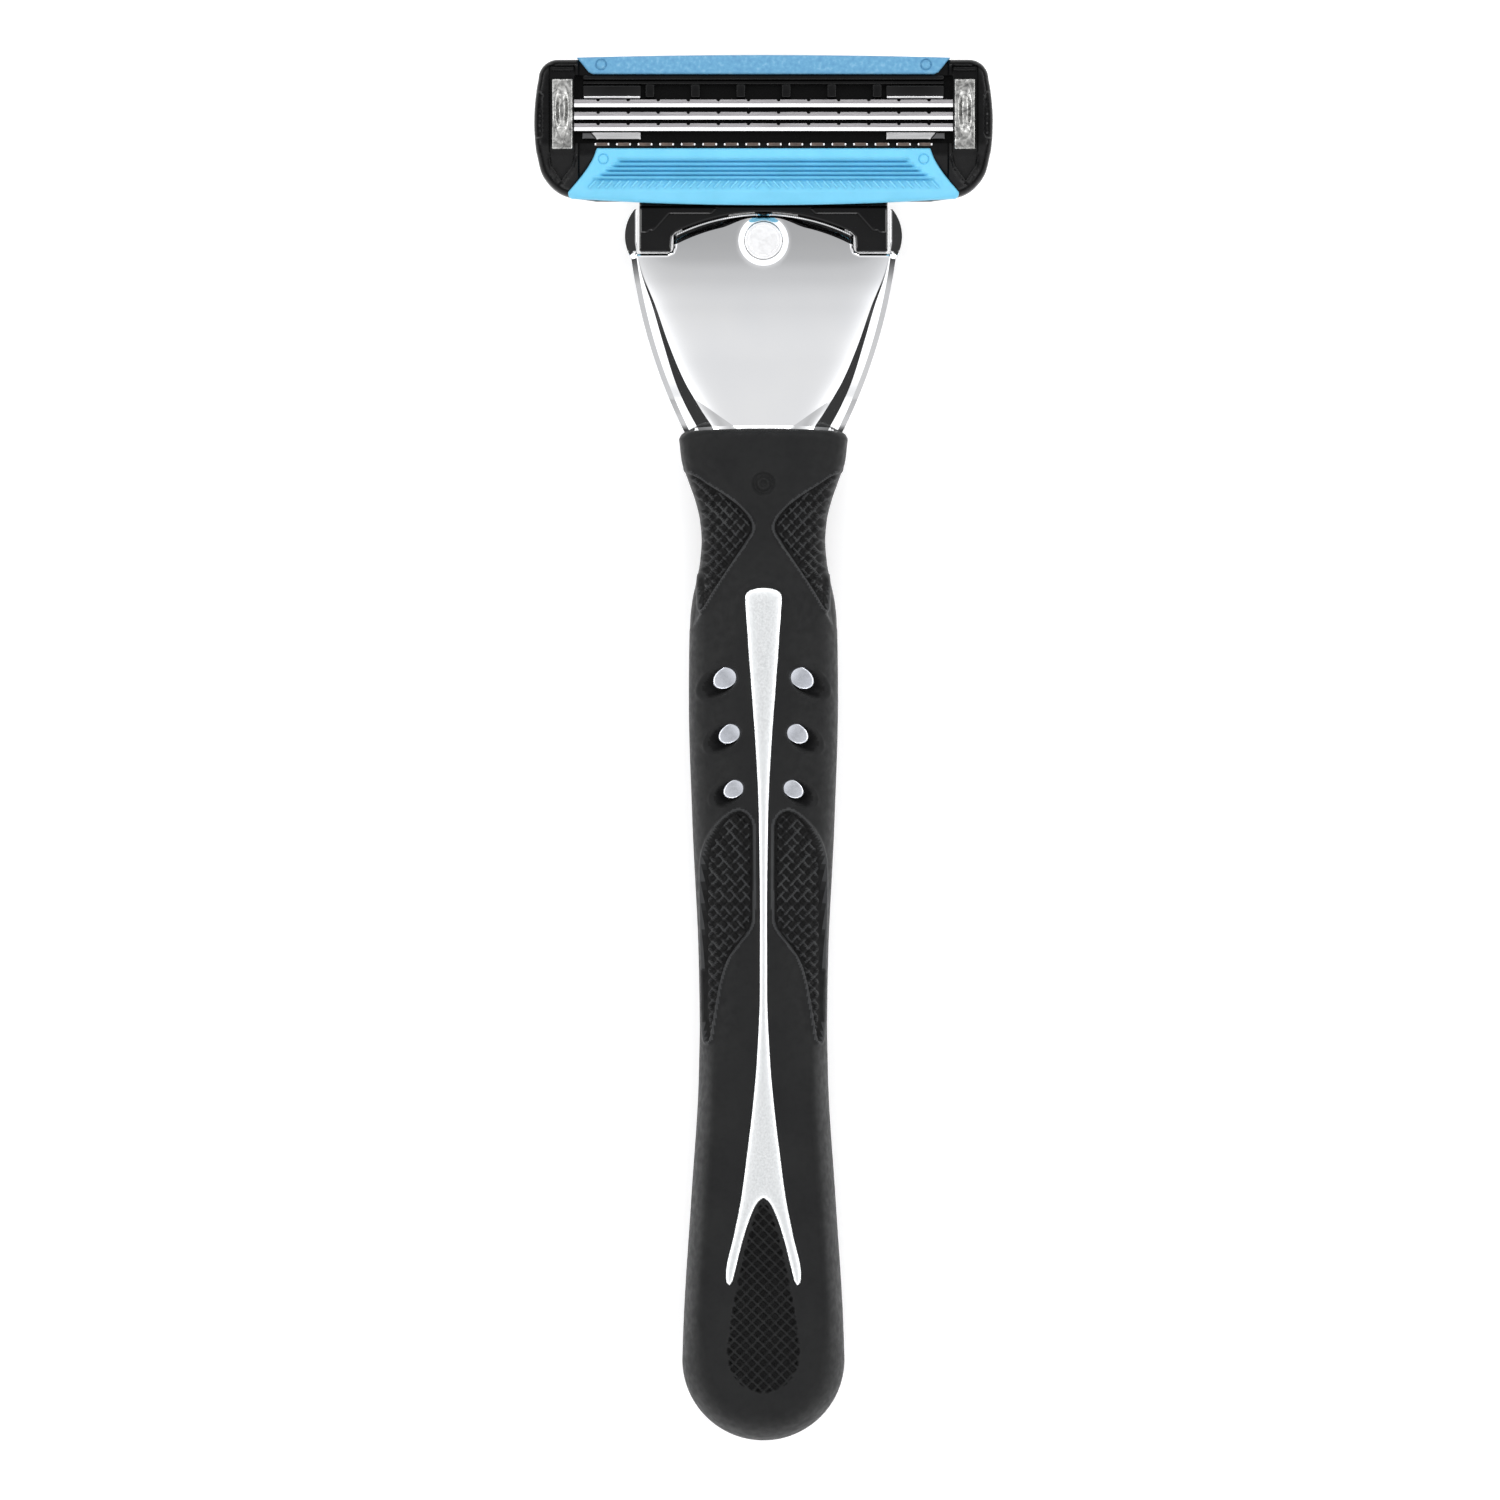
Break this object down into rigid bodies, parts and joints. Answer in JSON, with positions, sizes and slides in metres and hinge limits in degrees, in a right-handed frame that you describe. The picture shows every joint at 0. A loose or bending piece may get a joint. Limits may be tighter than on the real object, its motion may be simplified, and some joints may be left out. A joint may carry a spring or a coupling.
{
  "type": "cartridge razor",
  "caption": "Wet shaving razor: rubber-gripped metal handle with a release button, and a tipping blade cartridge that pulls off on its yoke.",
  "frame": {"origin": "centre of the footprint, on the surface that the back of the grip rests on", "axes": "+Y along the handle to the head, +Z out of the side the blades face, +X to the user's right"},
  "size_m": [0.0424, 0.1284, 0.0174],
  "materials": {
    "polished_metal": "mirror polish",
    "grip_rubber": "fine matte",
    "satin_silver": "satin",
    "black_plastic": "semi-gloss moulded",
    "guard_blue": "soft satin",
    "strip_blue": "waxy satin",
    "clip_metal": "rolled, slightly scuffed",
    "blade_steel": "ground",
    "spring_steel": "drawn wire"
  },
  "bodies": {
    "handle": {"handle_core": "polished_metal", "grip": "grip_rubber", "accent_trim": "satin_silver", "neck_back_cover": "black_plastic", "ejector_guide": "black_plastic", "button_spring": "spring_steel", "plunger_spring": "spring_steel", "grip_stud_1_right": "polished_metal", "grip_stud_1_left": "polished_metal", "grip_stud_2_right": "polished_metal", "grip_stud_2_left": "polished_metal", "grip_stud_3_right": "polished_metal", "grip_stud_3_left": "polished_metal"},
    "button": {"release_button": "polished_metal"},
    "ejector": {"ejector": "black_plastic"},
    "plunger": {"plunger": "black_plastic"},
    "yoke": {"connector_yoke": "black_plastic"},
    "cartridge": {"cartridge_frame": "black_plastic", "guard_strip": "guard_blue", "lubricating_strip": "strip_blue", "clip_right": "clip_metal", "clip_left": "clip_metal", "blade_1": "blade_steel", "blade_2": "blade_steel", "blade_3": "blade_steel", "blade_support_1": "blade_steel", "blade_support_2": "blade_steel", "blade_support_3": "blade_steel"}
  },
  "joints": [
    {"name": "button_press", "type": "slide", "parent": "handle", "child": "button", "axis": [0, 0, -1], "range_m": [0, 0.00075], "stiffness_N_per_m": 400, "springref_m": -0.001, "deforming": ["button_spring"]},
    {"name": "ejector_slide", "type": "slide", "parent": "handle", "child": "ejector", "axis": [0, 1, 0], "range_m": [0, 0.00075]},
    {"name": "cartridge_pull_off", "type": "slide", "parent": "handle", "child": "yoke", "axis": [0, 1, 0], "range_m": [0, 0.01]},
    {"name": "cartridge_pivot", "type": "hinge", "parent": "yoke", "child": "cartridge", "pos_m": [0, 0.0526, 0.0116], "axis": [-1, 0, 0], "range_deg": [0, 40], "stiffness_Nm_per_rad": 0.005, "springref_deg": -22.92},
    {"name": "plunger_slide", "type": "slide", "parent": "handle", "child": "plunger", "axis": [0, -1, 0], "range_m": [0, 0.004], "deforming": ["plunger_spring"]}
  ],
  "couplings": [
    {"joint": "ejector_slide", "follows": "button_press", "ratio": 1},
    {"joint": "plunger_slide", "follows": "cartridge_pivot", "m_per_rad": 0.005658}
  ]
}
